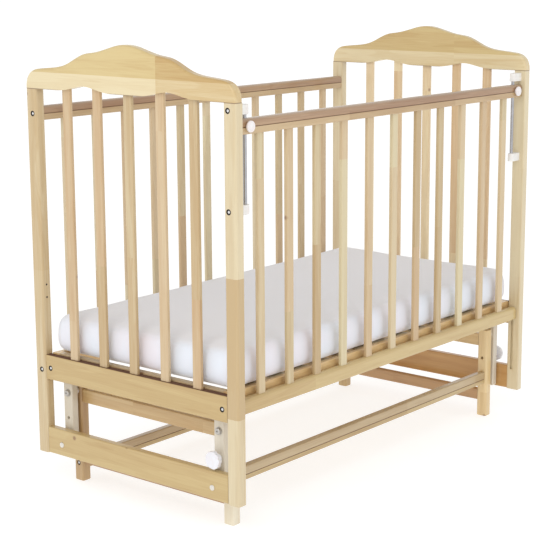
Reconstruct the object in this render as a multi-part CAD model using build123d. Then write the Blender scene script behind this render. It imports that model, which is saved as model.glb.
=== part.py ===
"""Wooden baby cot that swings sideways on four levers over a low base.

X runs along the cot, -Y is the side that drops, +Z is up. The origin lies on
the floor under the middle of the cot. All sizes are in millimetres.
"""
from build123d import *
import math
import os

os.makedirs("parts", exist_ok=True)

# Cot, overall
cot_length = 1250.0        # over the outer faces of the two end panels
cot_width = 672.0          # over the end posts
panel_bottom = 78.0        # foot of the end posts above the floor
post_top = 994.0           # joint between post and crest
crest_rise = 114.0         # top of the crest above that joint

# End panels
post_thick = 26.0          # along the cot
post_wide = 36.0           # across the cot
post_round = 7.0           # outer long edges
edge_round = 3.0           # all other worked edges
end_rail_thick = 20.0
end_rail_inset = 3.0       # rail face behind the outer face of the posts
slat_rail_top = 333.0
slat_rail_height = 63.0
low_rail_height = 68.0
tenon_length = 10.0
tenon_shoulder = 5.0       # wood left round a tenon
joint_play = 0.1           # room round tenons, slats, dowels and fixed bolts
dowel_radius = 4.0
dowel_in_post = 12.0
dowel_in_crest = 24.0
dowel_spacing = 16.0

# Crest outline, from the middle of the cot outwards
crest_corner = 42.0        # round at the outer ends
crest_corner_foot = 2.0    # straight end under that round
crest_wing = 48.0          # height where that round ends
crest_wing_slope = 0.12    # fall of the wing towards the end
crest_hollow_at = 193.0    # middle of the hollow between wing and shoulder
crest_hollow_high = 63.5
crest_shoulder_out = 132.0
crest_shoulder_high = 89.0
crest_shoulder_in = 104.0
crest_shoulder_step = 4.0  # rise over the shoulder
crest_dome_at = 52.0       # a place on the dome, and its height
crest_dome_high = 105.0
crest_arch_high = 13.0     # arches in the lower edge
crest_arch_in = 40.0
crest_arch_out = 228.0
crest_round = 6.0

# Slats
slat_thick = 10.0
slat_round = 2.5
slat_housing = 12.0        # depth of a slat in a rail
end_slat_wide = 26.0
end_slat_count = 5
end_slat_from_post = 96.0  # middle of the outer slat to the post
side_slat_wide = 24.0
side_slat_count = 11
side_slat_from_post = 79.0

# Long sides
side_rail_thick = 24.0
side_rail_height = 35.0
side_rail_inset = 10.0     # rail face behind the front of the posts
bead_line = 16.0           # lower band, up to the groove under the rounded bead
bead_round = 9.0
groove_size = 1.6
back_rail_top = 951.0
back_low_top = 311.0
drop_rail_top = 957.0
drop_low_top = 322.0
drop_end_play = 1.5        # drop side to each post
drop_travel = 150.0

# Guide rods, brackets and lower guide pins of the drop side
rod_radius = 4.5
rod_from_post = 30.0
rod_play = 0.08
rod_room = 1.0             # round the rod in the top rail, above its sleeve
bracket_height = 22.0
bracket_wide = 18.0
bracket_chamfer = 1.0
bracket_over_rail = 9.0    # gap from the raised top rail to the upper bracket
bracket_under_rail = 6.0   # gap from the lowered top rail to the lower bracket
sleeve_radius = 6.5
sleeve_under_bore = 1.0    # top of the sleeve to the catch bore
pin_radius = 4.0
pin_tip_round = 1.0
pin_reach = 6.0            # into the post groove
pin_root = 20.0            # into the end of the bottom rail
pin_play = 0.25
pin_slot_depth = 7.0
pin_slot_overrun = 18.0

# Catch buttons in the ends of the drop side's top rail
button_radius = 13.0
button_dome = 2.0
button_thick = 4.5
button_dish = 0.6          # shallow hollow in the face of the cap
button_rim = 4.0
button_gap = 4.5           # cap to rail
button_stroke = 3.5
button_stem_radius = 8.0
button_stem_reach = 15.5
button_play = 0.15
button_floor = 2.0         # behind the pressed stem
button_slot_play = 0.5

# Mattress base
deck_top = 336.0
deck_rail_thick = 24.0
deck_rail_height = 50.0
deck_side_play = 3.0       # deck rail to the inner face of the posts
deck_edge_round = 2.0
deck_end_thick = 20.0
deck_slat_thick = 10.0
deck_slat_wide = 60.0
deck_slat_count = 13
deck_slat_end_gap = 48.0   # outer deck slat to the deck's end rail
deck_ledge = 12.0          # width of the rebate that the slats lie in

# Mattress
mattress_end_gap = 4.0     # from its bulging ends to the end slats
mattress_side_gap = 6.0    # from its bulging sides to the side slats
mattress_thick = 105.0
mattress_corner = 26.0
mattress_draw = 3.0        # sides drawn in between the corners
mattress_lift = 0.3        # over the deck
mattress_steps = (         # how far in, at which share of the thickness
    (15.0, 0.0),
    (6.0, 0.07),
    (1.0, 0.20),
    (0.0, 0.40),
    (1.5, 0.62),
    (7.0, 0.80),
    (19.0, 0.91),
    (56.0, 0.97),
    (150.0, 1.0),
)

# Swing base
base_post_thick = 28.0     # along the cot
base_post_wide = 31.0      # across the cot
base_height = 254.0
base_post_round = 6.0
foot_chamfer = 1.5
base_rail_thick = 18.0
base_rail_inset = 7.0
base_top_rail_bottom = 206.0
base_top_rail_height = 35.0
base_low_rail_bottom = 45.0
base_low_rail_height = 32.0
stretcher_thick = 20.0
stretcher_height = 34.0
front_stretcher_mid = 115.0
back_stretcher_mid = 46.5
stretcher_line = 13.0      # groove above the lower edge

# Levers and their pivots
lever_from_post = 48.0     # pivots to the inner face of the end posts
lever_wide = 31.0
lever_thick = 20.0
lever_pivot_high = 237.0
lever_pivot_low = 107.0
lever_over = 25.0          # bar above the upper pivot
lever_under = 23.0         # bar below the lower pivot
lever_gap = 9.0            # lever to base post
lever_spacer = 5.0         # lever to low rail
pivot_radius = 4.0
pivot_play = 0.06
open_pivot_play = 0.35     # holes that only follow the swing
face_play = 0.2            # between a lever and what lies beside it
bush_radius = 9.0
pivot_head_radius = 8.0
pivot_head_thick = 5.0
pivot_head_round = 2.0
pivot_cap_radius = 7.0     # on the outer face of the low rail
pivot_cap_thick = 2.5
washer_radius = 9.5
washer_thick = 1.2
pivot_depth = 22.0         # upper bolt into the base post

# Lock knobs on the front levers
knob_radius = 21.5
knob_thick = 10.0
knob_face_round = 2.5
knob_neck = 15.0
knob_neck_radius = 9.0
knob_scallops = 9
scallop_radius = 5.0
scallop_depth = 1.8
stud_radius = 4.0
stud_past_lever = 8.0
stud_in_knob = 20.0
lock_hole_radius = 4.6

# Bolts of the cot frame
bolt_radius = 3.0
bolt_head_radius = 4.6
bolt_head_thick = 5.0
bolt_sink = 1.0
bolt_sink_radius = 6.4     # of the recess round the head
bolt_socket = 4.0          # across the flats
bolt_socket_depth = 2.5
bolt_in_rail = 34.0
bolt_in_bracket = 15.0
deck_bolt_rise = 14.0      # above the lower edge of the deck rail
pilot_radius = 1.6
pilot_depth = 8.0
pilot_heights = (478.0, 510.0)

# Places that follow from the sizes
half_length = cot_length / 2
half_width = cot_width / 2
post_inner = half_length - post_thick
post_inner_y = half_width - post_wide
end_rail_outer = half_length - end_rail_inset
end_rail_inner = end_rail_outer - end_rail_thick
end_rail_mid = end_rail_outer - end_rail_thick / 2
side_mid = half_width - side_rail_inset - side_rail_thick / 2
low_rail_top = panel_bottom + low_rail_height
slat_rail_bottom = slat_rail_top - slat_rail_height
end_slat_pitch = 2 * (post_inner_y - end_slat_from_post) / (end_slat_count - 1)
side_slat_pitch = 2 * (post_inner - side_slat_from_post) / (side_slat_count - 1)
drop_half = post_inner - drop_end_play
drop_rail_bottom = drop_rail_top - side_rail_height
rod_x = post_inner - rod_from_post
bracket_high = drop_rail_top + bracket_over_rail
bracket_low = drop_rail_bottom - drop_travel - bracket_under_rail - bracket_height
pin_z = drop_low_top - side_rail_height / 2
button_z = drop_rail_bottom + side_rail_height / 2
deck_outer_y = post_inner_y - deck_side_play
deck_inner_y = deck_outer_y - deck_rail_thick
deck_bottom = deck_top - deck_rail_height
deck_bolt_z = deck_bottom + deck_bolt_rise
deck_inner_x = end_rail_inner - deck_end_thick
deck_slat_reach = deck_inner_x - deck_slat_end_gap - deck_slat_wide / 2
deck_slat_pitch = 2 * deck_slat_reach / (deck_slat_count - 1)
mattress_length = 2 * (end_rail_mid - slat_thick / 2 - mattress_end_gap)
mattress_width = 2 * (side_mid - slat_thick / 2 - mattress_side_gap)
lever_outer = end_rail_inner - lever_spacer
lever_inner = lever_outer - lever_thick
base_outer = lever_inner - lever_gap
base_inner = base_outer - base_post_thick
lever_y = post_inner_y - lever_from_post
lock_z = (lever_pivot_high + lever_pivot_low) / 2
bolt_recess = bolt_head_thick + bolt_sink

ENDS = {"left": -1, "right": 1}
SIDES = {"front": -1, "back": 1}


def block(xs, ys, zs):
    """Box between two places on each axis."""
    size = [abs(b - a) for a, b in (xs, ys, zs)]
    middle = [(a + b) / 2 for a, b in (xs, ys, zs)]
    return Pos(*middle) * Box(*size)


def rod_along_x(radius, x_from, x_to, y, z):
    """Round bar or hole between two places along the cot."""
    turned = Pos((x_from + x_to) / 2, y, z) * Rot(0, 90, 0)
    return turned * Cylinder(radius, abs(x_to - x_from))


def rod_along_y(radius, y_from, y_to, x, z):
    """Round bar or hole between two places across the cot."""
    turned = Pos(x, (y_from + y_to) / 2, z) * Rot(90, 0, 0)
    return turned * Cylinder(radius, abs(y_to - y_from))


def rod_along_z(radius, z_from, z_to, x, y):
    """Upright round bar or hole."""
    return Pos(x, y, (z_from + z_to) / 2) * Cylinder(radius, abs(z_to - z_from))


def save(name, *solids):
    """Write one sub-part, or a group of like ones."""
    shape = solids[0] if len(solids) == 1 else Compound(children=list(solids))
    export_step(shape, f"parts/{name}.step")


def places(count, pitch):
    """Evenly spaced places, centred on zero."""
    return [(i - (count - 1) / 2) * pitch for i in range(count)]


def hex_socket(face, y, z):
    """Room for a hexagon key, cut to both sides of the face of a bolt head."""
    key = extrude(RegularPolygon(bolt_socket / 2, 6, major_radius=False), bolt_socket_depth, both=True)
    return Pos(face, y, z) * Rot(0, 90, 0) * key


def frame_bolt(end, outer_x, y, z, reach):
    """Socket-head bolt, driven from the outer face towards the middle."""
    face = end * (outer_x - bolt_sink)
    seat = face - end * bolt_head_thick
    bolt = rod_along_x(bolt_head_radius, face, seat, y, z)
    bolt += rod_along_x(bolt_radius, seat, end * (outer_x - reach), y, z)
    return bolt - hex_socket(face, y, z)


def frame_bolt_hole(end, outer_x, y, z, reach):
    """Room for one such bolt, with its head sunk under the outer face."""
    face = end * (outer_x + 1)
    seat = end * (outer_x - bolt_recess)
    hole = rod_along_x(bolt_sink_radius, face, seat, y, z)
    deep = end * (outer_x - reach - joint_play)
    return hole + rod_along_x(bolt_radius + joint_play, seat, deep, y, z)


def rail_bolt_reach():
    """From the outer face of a post into the end of a long rail."""
    return post_thick + bolt_in_rail


def bracket_bolt_reach():
    """From the outer face of a post into a rod bracket."""
    return post_thick + bolt_in_bracket


def back_rail_mids():
    """Heights of the middles of the two fixed rails."""
    return (back_rail_top - side_rail_height / 2, back_low_top - side_rail_height / 2)


def bracket_mids():
    """Heights of the middles of the two rod brackets of one end."""
    return (bracket_low + bracket_height / 2, bracket_high + bracket_height / 2)


def tenon(end_xs, side, low, high, play=0.0):
    """Stub at the end of a cross rail, or its mortise with play."""
    xs = (end_xs[0] + tenon_shoulder - play, end_xs[1] - tenon_shoulder + play)
    ys = (side * (post_inner_y - 1), side * (post_inner_y + tenon_length + play))
    return block(xs, ys, (low + tenon_shoulder - play, high - tenon_shoulder + play))


def end_rail_span(end):
    """Both faces of the cross rails of an end panel, lower X first."""
    return sorted((end * end_rail_inner, end * end_rail_outer))


def crest_dowels(end, side, play=0.0):
    """Two dowels that hold the crest on one post."""
    x = end * (half_length - post_thick / 2)
    middle = side * (half_width - post_wide / 2)
    low = post_top - dowel_in_post - play
    high = post_top + dowel_in_crest + play
    steps = (-dowel_spacing / 2, dowel_spacing / 2)
    return [rod_along_z(dowel_radius + play, low, high, x, middle + step) for step in steps]


def end_post(end, side):
    """Upright of an end panel, with everything bored and grooved into it."""
    xs = (end * post_inner, end * half_length)
    ys = (side * post_inner_y, side * half_width)
    post = block(xs, ys, (panel_bottom, post_top))
    outer = post.edges().filter_by(Axis.Z).filter_by(lambda e: abs(e.center().X) > half_length - 1)
    post = fillet(outer, post_round)
    inner = post.edges().filter_by(Axis.Z).filter_by(lambda e: abs(e.center().X) < post_inner + 1)
    post = fillet(inner, edge_round)
    faces = end_rail_span(end)
    post -= tenon(faces, side, slat_rail_bottom, slat_rail_top, joint_play)
    post -= tenon(faces, side, panel_bottom, low_rail_top, joint_play)
    for hole in crest_dowels(end, side, joint_play):
        post -= hole
    return bore_back_post(post, end) if side > 0 else bore_front_post(post, end)


def bore_back_post(post, end):
    """Bolt holes for the fixed side and pilot holes for a raised deck."""
    for z in back_rail_mids():
        post -= frame_bolt_hole(end, half_length, side_mid, z, rail_bolt_reach())
    for z in pilot_heights:
        x = end * (half_length - post_thick / 2)
        post -= rod_along_y(pilot_radius, post_inner_y - 1, post_inner_y + pilot_depth, x, z)
    return post


def bore_front_post(post, end):
    """Bolt holes for the rod brackets and the slot of the lower guide pin."""
    for z in bracket_mids():
        post -= frame_bolt_hole(end, half_length, -side_mid, z, bracket_bolt_reach())
    slot_half = pin_radius + pin_play
    slot_foot = pin_z - drop_travel - pin_slot_overrun
    xs = (end * (post_inner - 1), end * (post_inner + pin_slot_depth))
    ys = (-side_mid - slot_half, -side_mid + slot_half)
    slot = block(xs, ys, (slot_foot, pin_z + slot_half))
    return post - slot


def crest_outline():
    """Half of the crest's outline, from its middle to the outer end."""
    wing = (half_width - crest_corner, post_top + crest_wing)
    wing_way = (1, -crest_wing_slope)
    dome = Spline(
        (0, post_top + crest_rise),
        (crest_dome_at, post_top + crest_dome_high),
        (crest_shoulder_in, post_top + crest_shoulder_high + crest_shoulder_step),
        (crest_shoulder_out, post_top + crest_shoulder_high),
        (crest_hollow_at, post_top + crest_hollow_high),
        wing,
        tangents=[(1, 0), wing_way],
    )
    corner_foot = (half_width, post_top + crest_corner_foot)
    corner = Spline(wing, corner_foot, tangents=[wing_way, (0, -1)])
    foot = Line(corner_foot, (half_width, post_top))
    flat = Line((half_width, post_top), (crest_arch_out, post_top))
    arch = Spline(
        (crest_arch_out, post_top),
        ((crest_arch_out + crest_arch_in) / 2, post_top + crest_arch_high),
        (crest_arch_in, post_top),
        tangents=[(-1, 0), (-1, 0)],
    )
    middle = Line((crest_arch_in, post_top), (0, post_top))
    return [dome, corner, foot, flat, arch, middle]


def crest(end):
    """Scalloped top rail of an end panel, housed for posts' dowels and slats."""
    half = Wire(crest_outline() + [Line((0, post_top), (0, post_top + crest_rise))])
    right = Plane.YZ.offset(end * half_length) * make_face(half.edges())
    board = extrude(right, -end * post_thick)
    board += mirror(board, about=Plane.XZ)
    board = fillet(board.edges().filter_by(is_crest_top_edge), crest_round)
    for side in SIDES.values():
        for hole in crest_dowels(end, side, joint_play):
            board -= hole
    for y in places(end_slat_count, end_slat_pitch):
        board -= end_slat(end, y, joint_play)
    return board


def is_crest_top_edge(edge):
    """True for the outline edges of the upper side, on either face."""
    box = edge.bounding_box()
    flat = box.size.X < 0.01
    high = edge.center().Z > post_top + crest_wing / 2
    across = box.size.Y > crest_corner_foot
    return flat and high and across


def end_slat_top():
    """All slats of an end panel stop at one height, inside the crest."""
    return post_top + crest_arch_high + slat_housing


def end_slat(end, y, play=0.0):
    """Slat of an end panel, or its housing with play."""
    xs = (end * end_rail_mid - slat_thick / 2 - play, end * end_rail_mid + slat_thick / 2 + play)
    ys = (y - end_slat_wide / 2 - play, y + end_slat_wide / 2 + play)
    low = slat_rail_top - slat_housing
    slat = block(xs, ys, (low, end_slat_top()))
    return fillet(slat.edges().filter_by(Axis.Z), slat_round + play)


def end_rail(end, low, high):
    """Cross rail of an end panel with a tenon at each end."""
    xs = end_rail_span(end)
    rail = block(xs, (-post_inner_y, post_inner_y), (low, high))
    rail = fillet(rail.edges().filter_by(Axis.Y), edge_round)
    for side in SIDES.values():
        rail += tenon(xs, side, low, high)
    return rail


def slat_rail(end):
    """Upper cross rail: carries the slats and the deck bolts."""
    rail = end_rail(end, slat_rail_bottom, slat_rail_top)
    for y in places(end_slat_count, end_slat_pitch):
        rail -= end_slat(end, y, joint_play)
    for side in SIDES.values():
        rail -= frame_bolt_hole(end, end_rail_outer, side * deck_rail_mid(), deck_bolt_z, deck_bolt_reach())
    return rail


def low_rail(end):
    """Lower cross rail: carries the lower pivots of the levers."""
    rail = end_rail(end, panel_bottom, low_rail_top)
    across = (end * (end_rail_inner - 1), end * (end_rail_outer + 1))
    for side in SIDES.values():
        rail -= rod_along_x(pivot_radius + joint_play, *across, side * lever_y, lever_pivot_low)
    return rail


def deck_rail_mid():
    """Distance of the deck's side rails from the middle."""
    return (deck_outer_y + deck_inner_y) / 2


def deck_bolt_reach():
    """From the outer face of the slat rail into a deck side rail."""
    return end_rail_thick + bolt_in_rail


def bead_profile(middle_y, top):
    """Section of a top rail: square band, groove, rounded bead."""
    low = top - side_rail_height
    body = Pos(middle_y, low + side_rail_height / 2) * Rectangle(side_rail_thick, side_rail_height)
    upper = body.vertices().filter_by(lambda v: v.Y > top - 1)
    body = fillet(upper, bead_round)
    lower = body.vertices().filter_by(lambda v: v.Y < low + 1)
    body = fillet(lower, edge_round)
    for way in (-1, 1):
        notch = Pos(middle_y + way * side_rail_thick / 2, low + bead_line) * Rot(0, 0, 45)
        body -= notch * Rectangle(groove_size, groove_size)
    return body


def plain_profile(middle_y, top):
    """Section of a bottom rail: rounded above, eased below."""
    low = top - side_rail_height
    body = Pos(middle_y, low + side_rail_height / 2) * Rectangle(side_rail_thick, side_rail_height)
    upper = body.vertices().filter_by(lambda v: v.Y > top - 1)
    body = fillet(upper, bead_round)
    lower = body.vertices().filter_by(lambda v: v.Y < low + 1)
    return fillet(lower, edge_round)


def long_rail(profile, half):
    """Rail along the cot, the same length to each side of the middle."""
    return extrude(Plane.YZ * profile, half, both=True)


def side_slat(x, y, low, high, play=0.0):
    """Slat of a long side, or its housing with play."""
    xs = (x - side_slat_wide / 2 - play, x + side_slat_wide / 2 + play)
    slat = block(xs, (y - slat_thick / 2 - play, y + slat_thick / 2 + play), (low, high))
    return fillet(slat.edges().filter_by(Axis.Z), slat_round + play)


def side_slats(y, rail_top, low_top, play=0.0):
    """All slats between two rails of a long side."""
    low = low_top - slat_housing
    high = rail_top - side_rail_height + slat_housing
    return [side_slat(x, y, low, high, play) for x in places(side_slat_count, side_slat_pitch)]


def back_rail(profile, top):
    """Fixed rail between the back posts, housed for slats and bored for bolts."""
    rail = long_rail(profile, post_inner)
    for slat in side_slats(side_mid, back_rail_top, back_low_top, joint_play):
        rail -= slat
    for end in ENDS.values():
        rail -= frame_bolt_hole(end, half_length, side_mid, top - side_rail_height / 2, rail_bolt_reach())
    return rail


def catch_bore(end):
    """Blind cross bore for the forked stem of a catch button."""
    mouth = -side_mid - side_rail_thick / 2 - 1
    depth = -side_mid - side_rail_thick / 2 - button_gap + button_stem_reach + button_stroke + button_floor
    return rod_along_y(button_stem_radius + button_play, mouth, depth, end * rod_x, button_z)


def drop_top_rail():
    """Top rail of the drop side, bored for rods, sleeves and catches."""
    rail = long_rail(bead_profile(-side_mid, drop_rail_top), drop_half)
    for slat in side_slats(-side_mid, drop_rail_top, drop_low_top, joint_play):
        rail -= slat
    for end in ENDS.values():
        x = end * rod_x
        rail -= rod_along_z(rod_radius + rod_room, drop_rail_bottom - 1, drop_rail_top + 1, x, -side_mid)
        rail -= rod_along_z(sleeve_radius + joint_play, drop_rail_bottom - 1, sleeve_top(), x, -side_mid)
        rail -= catch_bore(end)
    return rail


def sleeve_top():
    """The sleeve stops just under the catch bore."""
    return button_z - button_stem_radius - button_play - sleeve_under_bore


def rod_sleeve(end):
    """Plastic sleeve that runs on a guide rod, in the foot of the top rail."""
    x = end * rod_x
    low, high = drop_rail_bottom, sleeve_top()
    sleeve = rod_along_z(sleeve_radius, low, high, x, -side_mid)
    return sleeve - rod_along_z(rod_radius + rod_play, low - 1, high + 1, x, -side_mid)


def drop_low_rail():
    """Bottom rail of the drop side, bored at its ends for the guide pins."""
    rail = long_rail(plain_profile(-side_mid, drop_low_top), drop_half)
    for slat in side_slats(-side_mid, drop_rail_top, drop_low_top, joint_play):
        rail -= slat
    for end in ENDS.values():
        deep = end * (drop_half - pin_root - joint_play)
        rail -= rod_along_x(pin_radius + joint_play, end * (drop_half + 1), deep, -side_mid, pin_z)
    return rail


def guide_pin(end):
    """Pin in the end of the bottom rail that runs in the slot of the post."""
    tip = end * (post_inner + pin_reach)
    pin = rod_along_x(pin_radius, tip, end * (drop_half - pin_root), -side_mid, pin_z)
    return fillet(pin.edges().sort_by(Axis.X)[0 if end < 0 else -1], pin_tip_round)


def catch_button(end):
    """Domed cap on a forked stem; the fork straddles the guide rod."""
    x = end * rod_x
    face = -side_mid - side_rail_thick / 2
    back = face - button_gap
    front = back - button_thick
    cap = rod_along_y(button_radius, front, back, x, button_z)
    cap = fillet(cap.edges().sort_by(Axis.Y)[0], button_dome)
    cap -= rod_along_y(button_radius - button_rim, front - 1, front + button_dish, x, button_z)
    tip = back + button_stem_reach
    stem = rod_along_y(button_stem_radius, back, tip, x, button_z)
    half = rod_radius + button_slot_play
    near = -side_mid - rod_radius - button_slot_play - button_stroke
    slot = block((x - half, x + half), (near, tip + 1), (button_z - button_radius, button_z + button_radius))
    return cap + (stem - slot)


def guide_rod(end):
    """Steel rod between the two brackets of one front post."""
    return rod_along_z(rod_radius, bracket_low, bracket_high + bracket_height, end * rod_x, -side_mid)


def rod_bracket(end, low):
    """White block on the inner face of a post that holds one end of a rod."""
    high = low + bracket_height
    x = end * rod_x
    ys = (-side_mid - bracket_wide / 2, -side_mid + bracket_wide / 2)
    arm = block((end * post_inner, x), ys, (low, high))
    bracket = arm + rod_along_z(bracket_wide / 2, low, high, x, -side_mid)
    bracket = chamfer(bracket.edges().filter_by(is_bracket_rim), bracket_chamfer)
    bracket -= rod_along_z(rod_radius + joint_play, low - 1, high + 1, x, -side_mid)
    bolt_z = low + bracket_height / 2
    return bracket - frame_bolt_hole(end, half_length, -side_mid, bolt_z, bracket_bolt_reach())


def is_bracket_rim(edge):
    """True for the level edges of a bracket, away from the post's face."""
    level = edge.bounding_box().size.Z < 0.01
    return level and abs(edge.center().X) < post_inner - 1


def deck_side_rail(side):
    """Rail of the deck beside a long side, rebated for the deck slats."""
    ys = sorted((side * deck_inner_y, side * deck_outer_y))
    rail = block((-end_rail_inner, end_rail_inner), ys, (deck_bottom, deck_top))
    rail = fillet(rail.edges().filter_by(Axis.X), deck_edge_round)
    ledge = (side * (deck_inner_y - 1), side * (deck_inner_y + deck_ledge))
    rail -= block((-deck_inner_x, deck_inner_x), ledge, (deck_top - deck_slat_thick, deck_top + 1))
    for end in ENDS.values():
        rail -= frame_bolt_hole(end, end_rail_outer, side * deck_rail_mid(), deck_bolt_z, deck_bolt_reach())
    return rail


def deck_end_rail(end):
    """Rail of the deck beside an end panel, between the side rails."""
    xs = (end * deck_inner_x, end * end_rail_inner)
    rail = block(xs, (-deck_inner_y, deck_inner_y), (deck_bottom, deck_top))
    return fillet(rail.edges().filter_by(Axis.Y), deck_edge_round)


def deck_slat(x):
    """Cross slat that lies in the rebates of both side rails."""
    half = deck_inner_y + deck_ledge - joint_play
    xs = (x - deck_slat_wide / 2, x + deck_slat_wide / 2)
    return block(xs, (-half, half), (deck_top - deck_slat_thick, deck_top))


def mattress_section(inset, z):
    """Plan outline: rounded corners, sides drawn in between them."""
    a = mattress_length / 2 - inset
    b = mattress_width / 2 - inset
    r = max(mattress_corner - inset / 2, mattress_corner / 3)
    k = r * (1 - math.sqrt(0.5))
    draw = mattress_draw
    pieces = []
    corners = [(1, 1), (-1, 1), (-1, -1), (1, -1)]
    for sx, sy in corners:
        start = (sx * a, sy * (b - r)) if sx * sy > 0 else (sx * (a - r), sy * b)
        stop = (sx * (a - r), sy * b) if sx * sy > 0 else (sx * a, sy * (b - r))
        pieces.append(ThreePointArc(start, (sx * (a - k), sy * (b - k)), stop))
        if sx * sy > 0:
            side = ThreePointArc(stop, (0, sy * (b - draw)), (-stop[0], stop[1]))
        else:
            side = ThreePointArc(stop, (sx * (a - draw), 0), (stop[0], -stop[1]))
        pieces.append(side)
    return Pos(0, 0, z) * make_face(Wire(pieces).edges())


def mattress():
    """Crowned foam mattress with soft sides in a fitted cover."""
    low = deck_top + mattress_lift
    sections = [mattress_section(inset, low + share * mattress_thick) for inset, share in mattress_steps]
    return loft(sections, ruled=True)


def base_post(end, side):
    """Upright of the swing base, bored for its pivot, lock and bolts."""
    xs = sorted((end * base_inner, end * base_outer))
    y = side * lever_y
    ys = (y - base_post_wide / 2, y + base_post_wide / 2)
    post = block(xs, ys, (0, base_height))
    post = fillet(post.edges().filter_by(Axis.Z), base_post_round)
    post = chamfer(post.faces().sort_by(Axis.Z)[0].edges(), foot_chamfer)
    post -= upper_pivot_hole(end, y)
    post -= rod_along_x(lock_hole_radius, end * (base_inner - 1), end * (base_outer + 1), y, lock_z)
    post -= frame_bolt_hole(end, base_outer, y, stretcher_mid(side), stretcher_bolt_reach())
    for low, high in base_rail_heights():
        post -= base_tenon(end, side, low, high, joint_play)
    return post


def upper_pivot_hole(end, y):
    """Blind hole for the bolt that a lever hangs on."""
    deep = end * (base_outer - pivot_depth - joint_play)
    return rod_along_x(pivot_radius + joint_play, end * (base_outer + 1), deep, y, lever_pivot_high)


def stretcher_mid(side):
    """The front stretcher lies higher than the back one."""
    return back_stretcher_mid if side > 0 else front_stretcher_mid


def stretcher_bolt_reach():
    """From the outer face of a base post into a stretcher."""
    return base_post_thick + bolt_in_rail


def base_rail_heights():
    """Lower and upper edge of the two cross rails."""
    low_top = base_low_rail_bottom + base_low_rail_height
    high_top = base_top_rail_bottom + base_top_rail_height
    return ((base_low_rail_bottom, low_top), (base_top_rail_bottom, high_top))


def base_rail_span(end):
    """Both faces of a base cross rail, lower X first."""
    outer = base_outer - base_rail_inset
    return sorted((end * outer, end * (outer - base_rail_thick)))


def base_tenon(end, side, low, high, play=0.0):
    """Stub at the end of a base cross rail, or its mortise with play."""
    xs = base_rail_span(end)
    inner = lever_y - base_post_wide / 2
    xs = (xs[0] + tenon_shoulder - play, xs[1] - tenon_shoulder + play)
    ys = (side * (inner - 1), side * (inner + tenon_length + play))
    return block(xs, ys, (low + tenon_shoulder - play, high - tenon_shoulder + play))


def base_cross_rail(end, low, high):
    """Cross rail of the base with a tenon at each end."""
    inner = lever_y - base_post_wide / 2
    rail = block(base_rail_span(end), (-inner, inner), (low, high))
    rail = fillet(rail.edges().filter_by(Axis.Y), edge_round)
    for side in SIDES.values():
        rail += base_tenon(end, side, low, high)
    return rail


def base_stretcher(side):
    """Long rail of the base with a fine groove along its outer face."""
    y = side * lever_y
    mid = stretcher_mid(side)
    body = Pos(y, mid) * Rectangle(stretcher_thick, stretcher_height)
    body = fillet(body.vertices(), edge_round)
    for way in (-1, 1):
        notch = Pos(y + way * stretcher_thick / 2, mid - stretcher_height / 2 + stretcher_line)
        body -= notch * Rot(0, 0, 45) * Rectangle(groove_size, groove_size)
    rail = extrude(Plane.YZ * body, base_inner, both=True)
    for end in ENDS.values():
        rail -= frame_bolt_hole(end, base_outer, y, mid, stretcher_bolt_reach())
    return rail


def lever(end, side):
    """Bar that hangs on the base post and carries the cot."""
    y = side * lever_y
    xs = (end * lever_inner, end * lever_outer)
    zs = (lever_pivot_low - lever_under, lever_pivot_high + lever_over)
    bar = block(xs, (y - lever_wide / 2, y + lever_wide / 2), zs)
    bar = fillet(bar.edges(), edge_round)
    driven = side < 0 and end < 0
    play_low = pivot_play if driven else open_pivot_play
    across = (end * (lever_inner - 1), end * (lever_outer + 1))
    bar -= rod_along_x(pivot_radius + pivot_play, *across, y, lever_pivot_high)
    bar -= rod_along_x(pivot_radius + play_low, *across, y, lever_pivot_low)
    return bar - rod_along_x(stud_radius + pivot_play, *across, y, lock_z)


def outer_rim(disc, end):
    """Edge of a disc's face that looks away from the middle of the cot."""
    return disc.edges().sort_by(Axis.X)[0 if end < 0 else -1]


def upper_pivot(end, side):
    """Socket-head bolt in the base post that a lever hangs and turns on."""
    place = (side * lever_y, lever_pivot_high)
    seat = lever_outer + face_play + washer_thick
    face = end * (seat + pivot_head_thick)
    bolt = rod_along_x(pivot_radius, end * (base_outer - pivot_depth), end * seat, *place)
    head = rod_along_x(pivot_head_radius, end * seat, face, *place)
    bolt += fillet(outer_rim(head, end), pivot_head_round)
    return bolt - hex_socket(face, *place)


def ring_along_x(outer, inner, x_from, x_to, y, z):
    """Washer, bush or sleeve round a bolt."""
    low, high = sorted((x_from, x_to))
    return rod_along_x(outer, low, high, y, z) - rod_along_x(inner, low - 1, high + 1, y, z)


def upper_bush(end, side):
    """Sleeve that holds a lever off its base post."""
    xs = (end * base_outer, end * (lever_inner - face_play))
    return ring_along_x(bush_radius, pivot_radius + joint_play, *xs, side * lever_y, lever_pivot_high)


def upper_washer(end, side):
    """Washer under the head of an upper pivot bolt."""
    near = lever_outer + face_play
    xs = (end * near, end * (near + washer_thick))
    return ring_along_x(washer_radius, pivot_radius + joint_play, *xs, side * lever_y, lever_pivot_high)


def lower_pivot(end, side):
    """Bolt through the low rail that rests in the foot of a lever."""
    place = (side * lever_y, lever_pivot_low)
    tip = end * (lever_inner - face_play - pivot_head_thick)
    face = end * end_rail_outer
    bolt = rod_along_x(pivot_radius, tip, face, *place)
    cap = rod_along_x(pivot_cap_radius, face, face + end * pivot_cap_thick, *place)
    return bolt + fillet(outer_rim(cap, end), pivot_head_round)


def lower_nut(end, side):
    """Round nut behind the foot of a lever."""
    near = lever_inner - face_play
    xs = (end * near, end * (near - pivot_head_thick))
    return ring_along_x(pivot_head_radius, pivot_radius + joint_play, *xs, side * lever_y, lever_pivot_low)


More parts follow.
